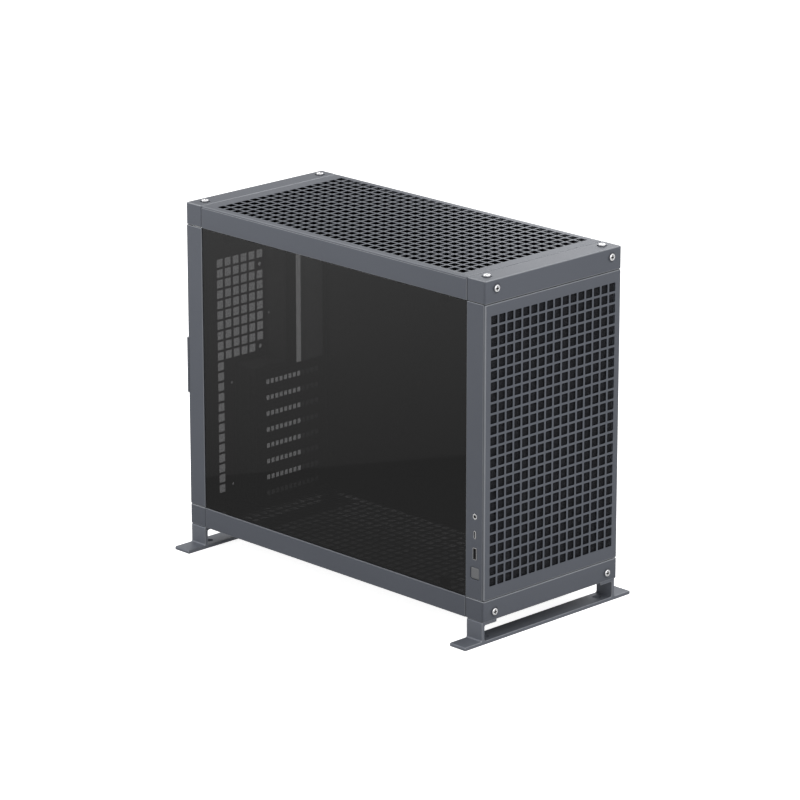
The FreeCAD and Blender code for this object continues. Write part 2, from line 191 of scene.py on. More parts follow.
# Rear panel and the well
rear_sheet = 1.2
fold_radius = 1.0
step_x = -8.8
step_z = 226.6
well_lip = 6.4
peep_inset = 5.4
peep_level = 283.0
peep_radius = 1.8
socket_low = (6.8, 222.3)
socket_high = (51.25, 381.05)
slot_middle_x = -2.8
slot_size = (98.0, 13.0)
first_vent = (-83.6, 358.1)
vent_columns = 6
vent_rows = 10
vent_tail_rows = 23
fan_screw_rows = (1, 9)
fan_screw_radius = 2.6
bracket_screw_x = -66.1
bracket_screw_levels = (204.2, 74.5)
bracket_screw_radius = 1.7
small_hole_sides = 12

# Slot covers
cover_sheet = 0.8
cover_corners = (0.7, 0.2, 0.2, 0.1, 0.2, 0.2)
cover_play = 0.1
cover_cells = 12
cover_cells_middle = -1.35
cover_cell_size = (5.8, 6.2)
cover_cell_pitch = 7.34
cover_cell_corner = 0.4

# Tray, posts and fan rails
tray_corner = 2.0
cable_slot = (30.0, 46.0)
cable_slot_corner = 6.0
cable_slot_count = 4
cable_slot_middle = 41.0
post_width = 5.5
post_rim = 0.25
post_rows = np.array([0, 124.46, 281.94])
post_columns = np.array([0, 72.39, 227.33])
post_bore_radius = 1.4
post_bore_depth = 4.0
fan_rail_corner = 1.0
fan_slot = (5.0, 44.0)
fan_slot_corner = 2.45
fan_slot_count = 6

# Mains inlet
inlet_body = np.array([27.0, 20.0])
inlet_body_corner = 1.0
inlet_body_play = 0.3
inlet_lap = 0.1
inlet_flange = 2.0
inlet_flange_corner = 2.5
inlet_end_rim = 0.6
inlet_mouth_rim = 0.4
inlet_mouth = np.array([(-11.5, -8.0), (11.5, -8.0), (11.5, 3.0), (6.5, 8.0), (-6.5, 8.0), (-11.5, 3.0)])
inlet_mouth_depth = 22.0
pin_half = np.array([1.0, 2.0])
pin_places = ((-7, -2), (0, 2), (7, -2))
pin_start = 1.9
pin_end = 18.0
pin_rim = 0.4

# Looks that more than one finish shares
# Paler bare metal on marked rims: partly wear, partly a painted edge highlight
bare_metal_and_highlight = (0.29, 0.30, 0.32)
# Painted shade for the deep faces of screw recesses
painted_recess_shade = (0.14, 0.14, 0.14)
thread_turns = 5200.0

# Studio and camera
fill_tone = 0.65
floor_tone = 0.92
floor_reach = 12.0
floor_glow = 0.9
floor_sheen = 0.44
near_floor = -0.3
near_sheen = 0.35
far_line_slope = 0.56
far_line_start = 0.605
far_sheen = 0.1
far_sheen_rise = 0.3
camera_place = (-3.3525, -3.4179, 1.6907)
camera_azimuth = -44.453
camera_elevation = 17.111
camera_lens = 189.0
camera_sensor = 36.0
camera_reach = 100.0


def place(node):
    """Low and high corner of a CAD node, in millimetres."""
    low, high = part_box(node)
    return np.array(low) / MM, np.array(high) / MM


def middle_of(node):
    """Middle of a CAD node, in millimetres."""
    low, high = place(node)
    return (low + high) / 2


def in_scene(name, data):
    """New object with this data, linked into the scene."""
    made = bpy.data.objects.new(name, data)
    bpy.context.scene.collection.objects.link(made)
    return made


def rectangle(middle, size):
    """Corners of a rectangle, counter-clockwise: middle ± half its size."""
    half = np.array(size) / 2
    return np.array(middle) + half * np.array([(-1, -1), (1, -1), (1, 1), (-1, 1)])


def between(low, high):
    """Corners of a rectangle between two corners, counter-clockwise."""
    low, high = np.array(low), np.array(high)
    return rectangle((low + high) / 2, high - low)


def circle(middle, radius, sides=circle_sides):
    """Point = middle + radius × (cos turn, sin turn), with the turn going once round."""
    turn = np.arange(sides) * 2 * math.pi / sides
    return np.array(middle) + radius * np.stack([np.cos(turn), np.sin(turn)], axis=1)


def unit(vectors):
    """The same directions with the length 1."""
    return vectors / np.linalg.norm(vectors, axis=-1, keepdims=True)


def rounded(corners, radius, steps=arc_steps):
    """Loop with each corner turned into an arc: point = centre + radius × (cos, sin) of an angle
    that goes evenly from the first tangent point to the second. The centre lies one radius
    beside the first tangent point, on the side that the loop turns to."""
    corners = np.array(corners, float)
    radius = np.broadcast_to(np.array(radius, float), len(corners))
    ahead = unit(np.roll(corners, -1, axis=0) - corners)
    before = np.roll(ahead, 1, axis=0)
    turn = np.arctan2(before[:, 0] * ahead[:, 1] - before[:, 1] * ahead[:, 0], (before * ahead).sum(1))
    side = np.sign(turn)[:, None]
    start = corners - before * (radius * np.tan(abs(turn) / 2))[:, None]
    left = np.stack([-before[:, 1], before[:, 0]], axis=1)
    centre = start + left * side * radius[:, None]
    first = np.arctan2(*(start - centre - left * side * angle_hint).T[::-1])
    angle = first[:, None] + turn[:, None] * np.linspace(0, 1, steps + 1)
    arc = np.stack([np.cos(angle), np.sin(angle)], axis=2)
    loop = (centre[:, None] + radius[:, None, None] * arc).reshape(-1, 2)
    apart = np.linalg.norm(loop - np.roll(loop, 1, axis=0), axis=1) > same_point
    return loop[apart]


def area(loop):
    """Half the sum of x × next y - y × next x: the area inside, above zero for counter-clockwise loops."""
    ahead = np.roll(loop, -1, axis=0)
    return (loop[:, 0] * ahead[:, 1] - loop[:, 1] * ahead[:, 0]).sum() / 2


def shifted(loop, distance):
    """Each point moves to its left by the distance, along the mitre of its two edges:
    the sum of the edges' normals, divided by 1 + their dot product."""
    ahead = unit(np.roll(loop, -1, axis=0) - loop)
    normal = np.stack([-ahead[:, 1], ahead[:, 0]], axis=1)
    before = np.roll(normal, 1, axis=0)
    mitre = (normal + before) / (1 + (normal * before).sum(1))[:, None]
    return loop + mitre * distance


def pitched(middle, count, pitch):
    """Places in a row: middle + (number - half the last number) × pitch."""
    return middle + (np.arange(count) - (count - 1) / 2) * pitch


def shares(low, high, count):
    """Middles of the equal shares of a stretch: low + share × (number + 0.5)."""
    return low + (high - low) / count * (np.arange(count) + 0.5)


def square_cells(places):
    """One loop per cell of a perforated sheet, with rounded corners."""
    shape = rounded(rectangle((0, 0), (cell_hole, cell_hole)), cell_corner, 1)
    return [shape + np.array(middle) for middle in places]


def across(axis):
    """The two axes beside this one, in their order."""
    return [other for other in range(3) if other != axis]


def lifted(axis, level):
    """Turns the points of a plane square to an axis into space. Their order is x, y, z less that axis."""
    return lambda flat: np.insert(flat, axis, level, axis=1)


class Shell:
    """The surfaces of one piece. They are welded into one mesh when it is finished."""

    def __init__(self):
        self.points = []
        self.faces = []
        self.marks = []
        self.count = 0

    def keep(self, points, faces, mark=0.0):
        """Takes in faces, with corners that count from the first of their points."""
        self.points.append(points)
        self.faces += (np.array(faces) + self.count).tolist()
        self.marks += np.broadcast_to(mark, len(faces)).tolist()
        self.count += len(points)

    def grid(self, rows, leave_out=(), mark=0.0):
        """Quads between neighbouring rows of points, and round to the first column, less some columns.
        The mark is one number or one per face: on coatings a worn edge with a painted highlight, on screws
        painted shade in a deep recess."""
        rows = np.array(rows)
        count, width = rows.shape[:2]
        row, column = np.meshgrid(np.arange(count - 1), np.arange(width), indexing="ij")
        shown = ~np.isin(column, list(leave_out))
        row, column = row[shown], column[shown]
        here, below, after = row * width, (row + 1) * width, (column + 1) % width
        corners = [here + column, here + after, below + after, below + column]
        self.keep(rows.reshape(-1, 3), np.stack(corners, axis=-1), mark)

    def fill(self, loops, lift):
        """Flat face between an outer loop and the loops inside it. Lift turns its points into space.
        A triangle whose corners all lie on one loop is kept only if a line from its middle
        crosses the loops an odd number of times."""
        points = np.concatenate(loops)
        sizes = np.array([len(loop) for loop in loops])
        ends = np.cumsum(sizes)
        index = np.arange(len(points))
        ahead = index + 1
        ahead[ends - 1] = ends - sizes
        edges = np.stack([index, ahead], axis=1).tolist()
        corners = [Vector(point) for point in points]
        flat, _, faces, origins, *_ = delaunay_2d_cdt(corners, edges, [], 1, fill_slack)
        flat, faces = np.array(flat), np.array(faces)
        loop_of = np.repeat(np.arange(len(loops)), sizes)[[origin[0] for origin in origins]][faces]
        doubtful = (loop_of == loop_of[:, :1]).all(1)
        middle = flat[faces[doubtful]].mean(1)
        start, end = points[None], points[ahead][None]
        spans = (start[..., 1] > middle[:, 1:]) != (end[..., 1] > middle[:, 1:])
        with np.errstate(divide="ignore", invalid="ignore"):
            slope = (end - start)[..., 0] / (end - start)[..., 1]
            crossed = spans & (middle[:, :1] < start[..., 0] + (middle[:, 1:] - start[..., 1]) * slope)
        shown = np.ones(len(faces), bool)
        shown[doubtful] = crossed.sum(1) % 2 == 1
        self.keep(lift(flat), faces[shown])

    def finish(self, name, finish, replaced=(), body="case", smooth=smooth_angle):
        """Welds the surfaces, turns the faces outwards and hands the piece to its body."""
        mesh = bpy.data.meshes.new(name)
        mesh.from_pydata(np.concatenate(self.points) * MM, [], self.faces)
        mesh.attributes.new("mark", "FLOAT", "FACE").data.foreach_set("value", self.marks)
        work = bmesh.new()
        work.from_mesh(mesh)
        bmesh.ops.remove_doubles(work, verts=work.verts, dist=weld_reach)
        bmesh.ops.dissolve_degenerate(work, edges=work.edges, dist=weld_speck)
        bmesh.ops.recalc_face_normals(work, faces=work.faces)
        work.to_mesh(mesh)
        work.free()
        mesh.polygons.foreach_set("use_smooth", np.ones(len(mesh.polygons), bool))
        mesh.set_sharp_from_angle(angle=math.radians(smooth))
        mesh.materials.append(finish[0])
        piece = in_scene(name, mesh)
        weighted = piece.modifiers.new("weighted normals", "WEIGHTED_NORMAL")
        weighted.keep_sharp = True
        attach(piece, body)
        if replaced:
            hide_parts(*replaced)
        return piece


def rim_turns(radius, steps):
    """Angles along a rim, from the flat face to the wall. A sharp rim has one."""
    return np.linspace(math.pi / 2, 0, steps + 1) if radius else np.zeros(1)


def pit(shell, flat_to_space, loop, depth, rim, floor):
    """Recess in a flat face. Its rows go down by rim × (1 - sin) while they close in by
    rim × (1 - cos), then straight down to the depth."""
    rows = [flat_to_space(shifted(loop, rim * math.cos(turn) - rim), -rim * (1 - math.sin(turn)))
            for turn in rim_turns(rim, rim_steps)]
    rows.append(flat_to_space(loop, -depth))
    shell.grid(rows)
    if floor:
        shell.fill([loop], lambda flat: flat_to_space(flat, -depth))
    return shifted(loop, -rim)


def rim_rows(loop, ends, radii, steps):
    """Rows of a wall between two levels, as (loop, level). Along the rim at either end the loop
    closes in by radius × (1 - cos) while its level moves out by radius × (1 - sin)."""
    rows = []
    for level, radius, out in ((ends[0], radii[0], 1), (ends[1], radii[1], -1)):
        part = [(shifted(loop, radius * (1 - math.cos(turn))), level + out * radius * (1 - math.sin(turn)))
                for turn in rim_turns(radius, steps)]
        rows += part[::out]
    return rows


def sides_with_pits(loop, axis, low, high, pits):
    """The sides of a loop that have recesses on them, between two levels, each with its recesses."""
    found = {}
    ahead = np.roll(loop, -1, axis=0)
    along = unit(ahead - loop)
    length = np.linalg.norm(ahead - loop, axis=1)
    for recess in pits:
        away = np.array(recess[0])[across(axis)] - loop
        beside = abs(away[:, 0] * along[:, 1] - away[:, 1] * along[:, 0])
        reach = (away * along).sum(1)
        on = (beside < touching) & (reach > 0) & (reach < length)
        if on.any() and low < recess[0][axis] < high:
            found.setdefault(int(np.argmax(on)), []).append(recess)
    return found


def side_with_pits(shell, axis, start, end, levels, recesses):
    """Flat side of a slab, from one corner of its outline to the next, with recesses in it."""
    way = unit(end - start)
    outward = np.array([way[1], -way[0]])

    def to_space(flat, height=0.0):
        plane = start + flat[:, :1] * way + height * outward
        return np.insert(plane, axis, flat[:, 1], axis=1)

    inner_loops = []
    for middle, shape, *rest in recesses:
        reach = ((np.array(middle)[across(axis)] - start) * way).sum()
        inner_loops.append(pit(shell, to_space, shape + np.array([reach, middle[axis]]), *rest))
    corners = between((0, levels[0]), (np.linalg.norm(end - start), levels[1]))
    shell.fill([corners] + inner_loops, to_space)


def slab(shell, axis, levels, outline, holes=(), rim=sheet_rim, hole_rim=fine_rim, pits=(), steps=rim_steps,
         pocket=None, worn=1.0):
    """Plate square to an axis: its outline and holes are carried from one level to the other along the rows
    of rim_rows, and its two faces are filled. Its outer rims get a mark, which the anodising shows as edge
    wear together with a painted edge highlight.
    A pit is a recess, (middle, loop about it, depth, rim, floor), in whichever flat face it lies on.
    A pocket, (loop, level of its mouth, level of its floor), thins the plate round all its holes."""
    low, high = min(levels), max(levels)
    rims = rim if isinstance(rim, tuple) else (rim, rim)
    hole_rims = hole_rim if isinstance(hole_rim, tuple) else (hole_rim, hole_rim)
    faces = {low: [], high: []}
    hole_ends = [low, high]
    if pocket:
        pocket_loop, mouth, pocket_floor = pocket
        hole_ends[[low, high].index(mouth)] = pocket_floor
        faces[pocket_floor] = []
    walls = [(outline if area(outline) > 0 else outline[::-1], rims, (low, high), worn)]
    walls += [(hole if area(hole) < 0 else hole[::-1], hole_rims, hole_ends, 0.0) for hole in holes]
    for loop, radii, ends, mark in walls:
        rows = rim_rows(loop, ends, radii, steps)
        faces[ends[0]].append(rows[0][0])
        faces[ends[1]].append(rows[-1][0])
        space = [lifted(axis, level)(flat) for flat, level in rows]
        rim_end = len(rim_turns(radii[0], steps))
        windows = sides_with_pits(loop, axis, low, high, pits)
        shell.grid(space[:rim_end], mark=mark)
        shell.grid(space[rim_end - 1:rim_end + 1], leave_out=windows)
        shell.grid(space[rim_end:], mark=mark)
        for side, recesses in windows.items():
            side_with_pits(shell, axis, loop[side], loop[(side + 1) % len(loop)],
                           (low + radii[0], high - radii[1]), recesses)
    if pocket:
        shell.grid([lifted(axis, level)(pocket_loop) for level in (mouth, pocket_floor)])
        faces[mouth].append(pocket_loop)
        shell.fill([pocket_loop] + faces[pocket_floor], lifted(axis, pocket_floor))
    for level, out in ((low, -1), (high, 1)):
        def to_space(flat, height=0.0):
            return lifted(axis, level + out * height)(flat)

        inner_loops = [pit(shell, to_space, shape + np.array(middle)[across(axis)], *rest)
                       for middle, shape, *rest in pits if abs(middle[axis] - level) < touching]
        shell.fill(faces[level] + inner_loops, to_space)


def block(shell, low, high, radius, axis=2, pits=()):
    """Rectangle with rounded corners, carried along an axis, with rims a little smaller than its corners."""
    low, high = np.array(low, float), np.array(high, float)
    outline = rounded(between(low[across(axis)], high[across(axis)]), radius)
    slab(shell, axis, (low[axis], high[axis]), outline, rim=radius * end_rim_share, pits=pits,
         steps=arc_steps)


def through(middle, shape, axis, depth, rim):
    """The two ends of a hole through a wall: the wall's other face lies at the depth along the axis."""
    other = list(middle)
    other[axis] += depth
    return [(middle, shape, abs(depth) - rim, rim, False), (tuple(other), shape, rim, rim, False)]


def sheet_piece(name, finish, node, axis, outline, holes=(), levels=None, **rest):
    """Piece that is one slab in place of a node, and lies at the node's levels unless it is given others.
    The rest is handed on to the slab."""
    low, high = place(node)
    shell = Shell()
    slab(shell, axis, levels or (low[axis], high[axis]), outline, holes, **rest)
    shell.finish(name, finish, [node])


# Materials


class Value:
    """A shader socket that works in Python expressions: each operator adds its Math node."""

    def __init__(self, finish, socket):
        self.finish = finish
        self.socket = socket

    def math(self, operation, *others):
        return self.finish.add("ShaderNodeMath", {"operation": operation}, [self, *others])

    def __add__(self, other):
        return self.math("ADD", other)

    def __sub__(self, other):
        return self.math("SUBTRACT", other)

    def __mul__(self, other):
        return self.math("MULTIPLY", other)

    def __rsub__(self, other):
        return self.finish.add("ShaderNodeMath", {"operation": "SUBTRACT"}, [other, self])

    def __gt__(self, other):
        return self.math("GREATER_THAN", other)

    def __lt__(self, other):
        return self.math("LESS_THAN", other)

    __radd__ = __add__
    __rmul__ = __mul__


class Finish:
    """The node tree of a material or world while its nodes are added."""

    def __init__(self, owner):
        self.owner = owner
        owner.use_nodes = True
        self.tree = owner.node_tree
        self.tree.nodes.clear()

    def add(self, kind, settings=None, values=None, output=0):
        """Adds a node, sets it up, then gives its sockets their values or links. It hands back one output,
        or all of them."""
        node = self.tree.nodes.new(kind)
        for name, setting in (settings or {}).items():
            setattr(node, name, setting)
        pairs = values.items() if isinstance(values, dict) else enumerate(values or [])
        for name, value in pairs:
            if isinstance(value, Value):
                self.tree.links.new(value.socket, node.inputs[name])
            else:
                node.inputs[name].default_value = value
        if output is all:
            return [Value(self, socket) for socket in node.outputs]
        return Value(self, node.outputs[output]) if node.outputs else node

    def position(self):
        return self.add("ShaderNodeTexCoord", output="Object")

    def mark(self):
        return self.add("ShaderNodeAttribute", {"attribute_name": "mark"}, output="Fac")

    def parts(self, vector):
        return self.add("ShaderNodeSeparateXYZ", values=[vector], output=all)

    def seen_by(self, *rays):
        """1 for a ray of any of these kinds, otherwise 0."""
        seen, *others = [self.add("ShaderNodeLightPath", output=f"Is {ray} Ray") for ray in rays]
        for other in others:
            seen = seen.math("MAXIMUM", other)
        return seen

    def noise(self, scale, detail=2.0, roughness=0.5):
        return self.add("ShaderNodeTexNoise", {}, {"Vector": self.position(), "Scale": scale,
                                                   "Detail": detail, "Roughness": roughness})

    def shade(self, factor, dark, light):
        """Colour between two colours, each of them three numbers or a link."""
        first, last = [end if isinstance(end, Value) else (*end, 1) for end in (dark, light)]
        return self.add("ShaderNodeMix", {"data_type": "RGBA"}, {0: factor, 6: first, 7: last}, output=2)

    def bump(self, height, distance, strength):
        return self.add("ShaderNodeBump", {}, {"Height": height, "Distance": distance, "Strength": strength})

    def surface(self, **sockets):
        names = {name.replace("_", " "): value for name, value in sockets.items()}
        return self.add("ShaderNodeBsdfPrincipled", {}, names)

    def done(self, shader):
        self.add("ShaderNodeOutputMaterial", {}, {"Surface": shader})
        return self.owner


def material(name):
    return Finish(bpy.data.materials.new(name))


def blasted_metal(name, dark, light):
    """Gunmetal anodising over bead-blasted aluminium: fine grain, slow wide clouds, and marked edges
    turned paler and more metallic, partly rubbed-down metal and partly a painted highlight along the edges."""
    look = material(name)
    grain = look.noise(5200, 3, 0.6)
    cloud = look.noise(7, 2)
    tone = cloud * 0.5 + grain * 0.5
    # Painted highlight: marked rims turn towards paler bare metal, partly edge wear and partly edge light
    edge_wear_and_highlight = look.mark() * (cloud * 0.4 + 0.6)
    colour = look.shade(edge_wear_and_highlight, look.shade(tone, dark, light), bare_metal_and_highlight)
    shader = look.surface(Base_Color=colour, Metallic=edge_wear_and_highlight * 0.6 + 0.3, Specular_IOR_Level=0.3,
                          Roughness=cloud * 0.08 + grain * 0.06 + 0.41,
                          Normal=look.bump(grain, 0.00002, 0.6))
    return look.done(shader), "frame_metal"


def inner_metal(name, dark, light):
    """Powder coat with its fine pebbled skin."""
    look = material(name)
    pebble = look.noise(2600, 2, 0.5)
    cloud = look.noise(9, 2)
    colour = look.shade(cloud * 0.7 + pebble * 0.3, dark, light)
    shader = look.surface(Base_Color=colour, Metallic=0.2, Roughness=pebble * 0.12 + 0.46,
                          Normal=look.bump(pebble, 0.00003, 0.7))
    return look.done(shader), "inner_metal"


def tinted_glass():
    """Dark tinted pane: a clear tint mixed with a polished surface, with faint smears."""
    look = material("dark tinted glass")
    smear = look.noise(14, 3, 0.6)
    polish = look.surface(Base_Color=(0.9, 0.9, 0.9, 1), Metallic=1.0, Roughness=smear * 0.02 + 0.02)
    tint = look.add("ShaderNodeBsdfTransparent", {}, {"Color": (0.215, 0.215, 0.217, 1)})
    slant = look.add("ShaderNodeLayerWeight", {}, {"Blend": 0.5}, output="Facing")
    mirrored = slant.math("POWER", 5.0) * 0.96 + 0.04
    shader = look.add("ShaderNodeMixShader", {}, {0: mirrored, 1: tint, 2: polish})
    return look.done(shader), "glass"


def filter_mesh(name, dark, light, cover):
    """Fine woven nylon: threads cross at right angles, painted lighter on their crests and darker between
    them, as light and shade on round threads.
    Weave = half + a quarter of the sine along x + a quarter of the sine along y + z."""
    look = material(name)
    x, y, z = look.parts(look.position())
    weave = (x * thread_turns).math("SINE") * 0.25 + ((y + z) * thread_turns).math("SINE") * 0.25 + 0.5
    dust = look.noise(120, 3)
    colour = look.shade(weave * 0.75 + dust * 0.25, dark, light)
    thread = look.surface(Base_Color=colour, Roughness=dust * 0.1 + 0.7, Specular_IOR_Level=0.0,
                          Normal=look.bump(weave, 0.0001, 0.8))
    gap = look.add("ShaderNodeBsdfTransparent", {}, {"Color": (1, 1, 1, 1)})
    shader = look.add("ShaderNodeMixShader", {}, {0: weave * 0.2 + cover, 1: gap, 2: thread})
    return look.done(shader), "mesh"


def screw_steel(name, dark, light):
    """Plated screw steel with faint turning marks, and painted shade on the marked faces deep in the cross
    recess.
    """
    look = material(name)
    scratch = look.noise(1800, 3, 0.6)
    colour = look.shade(look.mark(), look.shade(scratch, dark, light), painted_recess_shade)
    shader = look.surface(Base_Color=colour, Metallic=1.0, Roughness=scratch * 0.1 + 0.16,
                          Normal=look.bump(scratch, 0.00002, 0.5))
    return look.done(shader), "screw_steel"


def plated_metal():
    """Bright plating of the port shells."""
    look = material("port plating")
    scratch = look.noise(2400, 2, 0.5)
    colour = look.shade(scratch, (0.80, 0.80, 0.81), (0.92, 0.92, 0.93))
    shader = look.surface(Base_Color=colour, Metallic=1.0, Roughness=scratch * 0.1 + 0.18)
    return look.done(shader), "port_metal"


def button_metal():
    """Satin aluminium of the button, lighter than the frame."""
    look = material("satin button aluminium")
    grain = look.noise(4200, 3, 0.6)
    colour = look.shade(grain, (0.20, 0.205, 0.215), (0.26, 0.265, 0.275))
    shader = look.surface(Base_Color=colour, Metallic=0.7, Roughness=grain * 0.08 + 0.36,
                          Normal=look.bump(grain, 0.00002, 0.5))
    return look.done(shader), "button"


def black_plastic():
    """Black moulded plastic with a spark-eroded grain."""
    look = material("black moulded plastic")
    grain = look.noise(3000, 2, 0.6)
    colour = look.shade(grain, (0.012, 0.012, 0.013), (0.022, 0.022, 0.024))
    shader = look.surface(Base_Color=colour, Roughness=grain * 0.15 + 0.42,
                          Normal=look.bump(grain, 0.00003, 0.6))
    return look.done(shader), "black_plastic"


def turned_brass():
    """Brass with faint rings from turning."""
    look = material("turned brass")
    ring = look.noise(1500, 2, 0.5)
    colour = look.shade(ring, (0.34, 0.26, 0.11), (0.46, 0.36, 0.16))
    shader = look.surface(Base_Color=colour, Metallic=1.0, Roughness=ring * 0.12 + 0.26)
    return look.done(shader), "brass"


def solder_mask():
    """Dark circuit board with faint tracks under its coating."""
    look = material("circuit board")
    track = look.add("ShaderNodeTexVoronoi", {"feature": "DISTANCE_TO_EDGE"},
                     {"Vector": look.position(), "Scale": 420.0})
    line = track < 0.08
    colour = look.shade(line, (0.008, 0.022, 0.014), (0.016, 0.045, 0.026))
    shader = look.surface(Base_Color=colour, Roughness=line * 0.1 + 0.35,
                          Normal=look.bump(line, 0.00003, 0.5))
    return look.done(shader), "circuit_board"


def pale_floor():
    """Matte floor that the camera sees as white. The case mirrors it with a light of floor sheen, plus near
    sheen in front of the case, plus far sheen + rise × distance past a slanting line behind the case, and
    never more than 1."""
    look = material("pale floor")
    x, y, _ = look.parts(look.position())
    beyond = y - x * far_line_slope - far_line_start
    behind = (beyond > 0) * (beyond * far_sheen_rise + far_sheen)
    sheen = behind + (y < near_floor) * near_sheen + floor_sheen
    matte = look.surface(Base_Color=(floor_tone, floor_tone, floor_tone, 1), Roughness=0.9,
                         Specular_IOR_Level=0.0)
    seen = look.seen_by("Camera", "Transmission")
    glow = look.add("ShaderNodeEmission", {}, [(1, 1, 1, 1), seen * floor_glow])
    lit = look.add("ShaderNodeAddShader", {}, [matte, glow])
    mirrored = look.add("ShaderNodeEmission", {}, [(1, 1, 1, 1), sheen.math("MINIMUM", 1.0)])
    return look.done(look.add("ShaderNodeMixShader", {}, [look.seen_by("Glossy"), lit, mirrored]))


metal = blasted_metal("gunmetal anodising", (0.090, 0.098, 0.117), (0.120, 0.130, 0.153))
# Painted light: the feet get a paler copy of the anodising, standing in for the stronger light they get near
# the bright floor
foot_lit_metal = blasted_metal("gunmetal anodising painted paler for light", (0.140, 0.151, 0.176), (0.180, 0.193, 0.222))
inner = inner_metal("dark powder coat", (0.030, 0.031, 0.034), (0.046, 0.047, 0.051))
# Painted light: the well and its lip get a much paler copy of the powder coat, standing in for the light
# that reaches the well
well_lit_coat = inner_metal("powder coat painted paler for light in the well", (0.20, 0.203, 0.21), (0.25, 0.253, 0.26))
glass = tinted_glass()
# Painted shade and light: the mesh behind the top grille is near black, standing in for the shade under the
# sheet, and the front filter gets a lighter copy, standing in for the light it gets
shaded_mesh_cloth = filter_mesh("dust filter mesh", (0.0008, 0.0009, 0.0011), (0.003, 0.0032, 0.0038), 0.78)
lit_front_cloth = filter_mesh("front dust filter mesh", (0.010, 0.0105, 0.012), (0.036, 0.037, 0.042), 0.78)
# Mesh of the floor filter: a dust filter that also stands in for the shadow under the case
floor_dust_and_shade_cloth = filter_mesh("floor dust filter mesh", (0.030, 0.031, 0.034), (0.080, 0.082, 0.088), 0.48)
steel = screw_steel("nickelled screw steel", (0.74, 0.74, 0.75), (0.88, 0.88, 0.89))
black_steel = screw_steel("blackened screw steel", (0.05, 0.05, 0.052), (0.08, 0.08, 0.083))
plating = plated_metal()
satin = button_metal()
plastic = black_plastic()
brass = turned_brass()
board = solder_mask()

# Finishes by slot. They show on the nodes that keep their CAD shape
cad_finishes = (metal, inner, glass, shaded_mesh_cloth, steel, plating, satin, plastic, brass, board)
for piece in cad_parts.values():
    for slot in piece.material_slots:
        for made, slot_name in cad_finishes:
            if slot.material and slot_name in slot.material.name:
                slot.material = made
                break
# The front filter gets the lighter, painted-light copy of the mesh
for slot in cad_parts["front_dust_filter"].material_slots:
    slot.material = lit_front_cloth[0]

# Screw places, from the CAD heads
front_low, front_high = place("front_screws")
top_low, top_high = place("top_screws")
screw_x = front_high[0] - cad_head_radius
screw_columns = (-screw_x, screw_x)
face_screw_levels = (front_low[2] + cad_head_radius, front_high[2] - cad_head_radius)
top_screw_rows = (top_low[1] + cad_head_radius, top_high[1] - cad_head_radius)


def screw_heads(name, node, axis, seat, out, places):
    """Pan heads on polar grids. Height = head height × (1 - (r / R)^p)^(1/p), less the cross:
    its depth × how far a point lies inside either arm."""
    share = np.linspace(0, 1, head_rings + 1)[1:]
    radius = head_radius * np.sin(share * math.pi / 2) ** head_ring_power
    turn = np.arange(head_sides) * 2 * math.pi / head_sides
    r, t = np.meshgrid(np.append(head_pole, radius), turn, indexing="ij")
    a, b = r * np.cos(t), r * np.sin(t)
    dome = head_height * (1 - np.minimum(r / head_radius, 1) ** head_power) ** (1 / head_power)
    narrow, wide = np.minimum(abs(a), abs(b)), np.maximum(abs(a), abs(b))
    inside = np.clip((cross_half - narrow) / cross_slope, 0, 1)
    inside = inside * np.clip((cross_reach - wide) / cross_end_slope, 0, 1)
    height = np.concatenate([dome - cross_depth * inside, np.full((1, head_sides), -recess_depth)])
    # Faces beside the deep part of the cross are marked, and their material paints them in shade
    deep = np.concatenate([inside, np.zeros((1, head_sides))]) > cross_shade_from
    shaded = (deep[:-1] | deep[1:]).ravel()
    a, b = np.concatenate([a, a[-1:]]), np.concatenate([b, b[-1:]])
    shell = Shell()
    for middle in places:
        flat = np.stack([a + middle[0], b + middle[1]], axis=-1)
        points = np.insert(flat, axis, 0, axis=2)
        points[..., axis] = seat + out * height
        shell.grid(points, mark=shaded)
        for row in (points[-1], points[0]):
            shell.fill([row[:, across(axis)]], lifted(axis, row[0, axis]))
    shell.finish(name, steel, [node], smooth=head_smooth_angle)


face_places = [(x, z) for x in screw_columns for z in face_screw_levels]
screw_heads("front_pan_screws", "front_screws", 1, front_high[1], -1, face_places)
screw_heads("rear_pan_screws", "rear_screws", 1, place("rear_screws")[0][1], 1, face_places)
top_places = [(x, y) for x in screw_columns for y in top_screw_rows]
screw_heads("top_pan_screws", "top_screws", 2, top_low[2], 1, top_places)

# Crossbars


def crossbar(node):
    """Block with screw recesses, a channel open to the inside and, at the front, grooves in its ends."""
    low, high = place(node)
    at_front, at_top = high[1] < 0, low[2] > cad_high[2] / MM / 2
    face, inner_face = (low[1], high[1]) if at_front else (high[1], low[1])
    middle, size = middle_of(node), high - low
    seats = [(x, face, face_screw_levels[1 if at_top else 0]) for x in screw_columns]
    if at_top:
        seats += [(x, top_screw_rows[0 if at_front else 1], high[2]) for x in screw_columns]
    ring = circle((0, 0), recess_radius)[::-1]
    pits = [(seat, ring, recess_depth, recess_rim, True) for seat in seats]
    if at_front:
        groove = rectangle((0, 0), (groove_width, size[2] - 2 * bar_radius - groove_end))[::-1]
        pits += [((x, low[1] + front_plate + groove_width / 2, middle[2]), groove, groove_depth, 0, True)
                 for x in (low[0], high[0])]
    hollow = rectangle((0, 0), (size[0] - 2 * bar_end_block, size[2] - 2 * bar_wall))[::-1]
    pits.append(((middle[0], inner_face, middle[2]), hollow, size[1] - bar_wall, 0, True))
    shell = Shell()
    block(shell, low, high, bar_radius, pits=pits)
    shell.finish(node + "_milled", metal, [node])


for bar in ("front_top_crossbar", "front_bottom_crossbar", "rear_top_crossbar", "rear_bottom_crossbar"):
    crossbar(bar)

# Rails and pillars: folded channels


